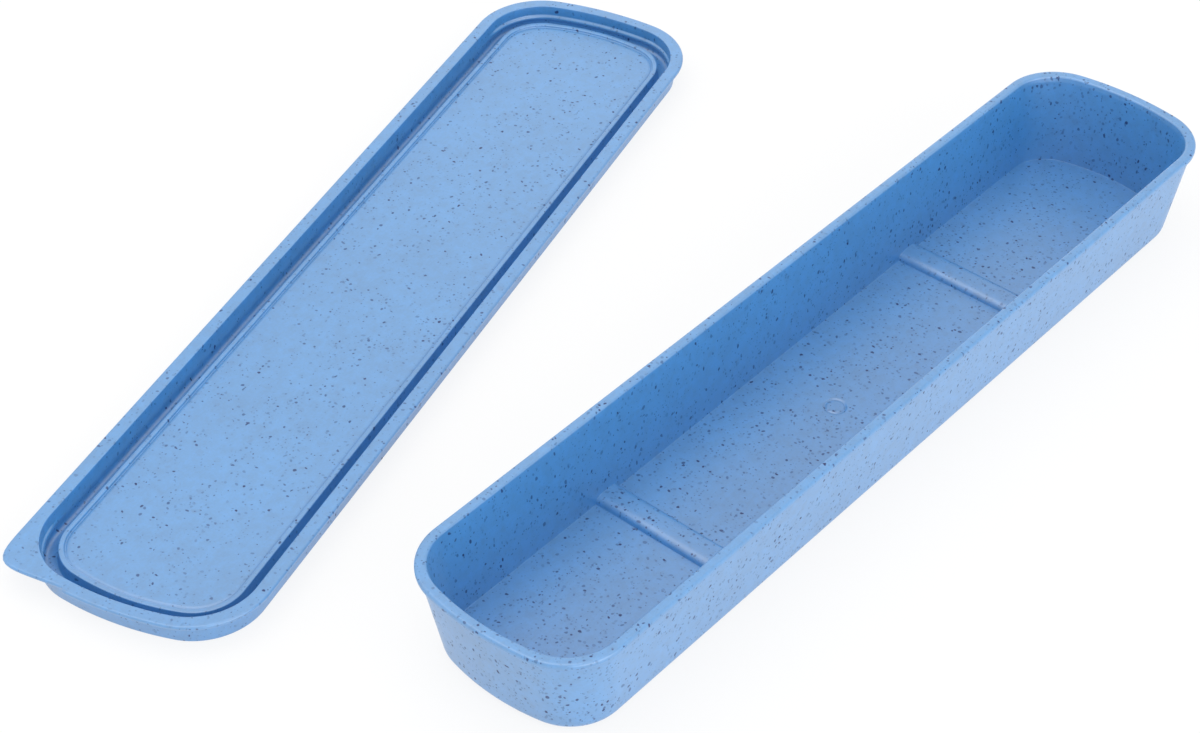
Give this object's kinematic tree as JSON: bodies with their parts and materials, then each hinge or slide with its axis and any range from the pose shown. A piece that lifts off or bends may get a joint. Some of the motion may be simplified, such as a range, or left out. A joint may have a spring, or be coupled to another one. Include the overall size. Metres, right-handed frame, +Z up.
{
  "type": "travel cutlery box",
  "caption": "Long shallow plastic box for travel cutlery: an open tray with cross ribs on its floor, and a press-fit lid lying upside down beside it.",
  "frame": {"origin": "centre of the tray's flat underside, on the surface it stands on", "axes": "+X along the tray's length, +Y from the tray towards the lid beside it, +Z up"},
  "size_m": [0.2551, 0.1733, 0.0228],
  "materials": {
    "tray_plastic": "satin, speckled with dark fibre",
    "lid_plastic": "satin, speckled with dark fibre"
  },
  "bodies": {
    "tray": {"tray": "tray_plastic"},
    "lid": {"lid": "lid_plastic"}
  },
  "joints": [
    {"name": "lid_lift", "type": "slide", "parent": "tray", "child": "lid", "axis": [0, 0, 1], "range_m": [0, 0.1]}
  ]
}
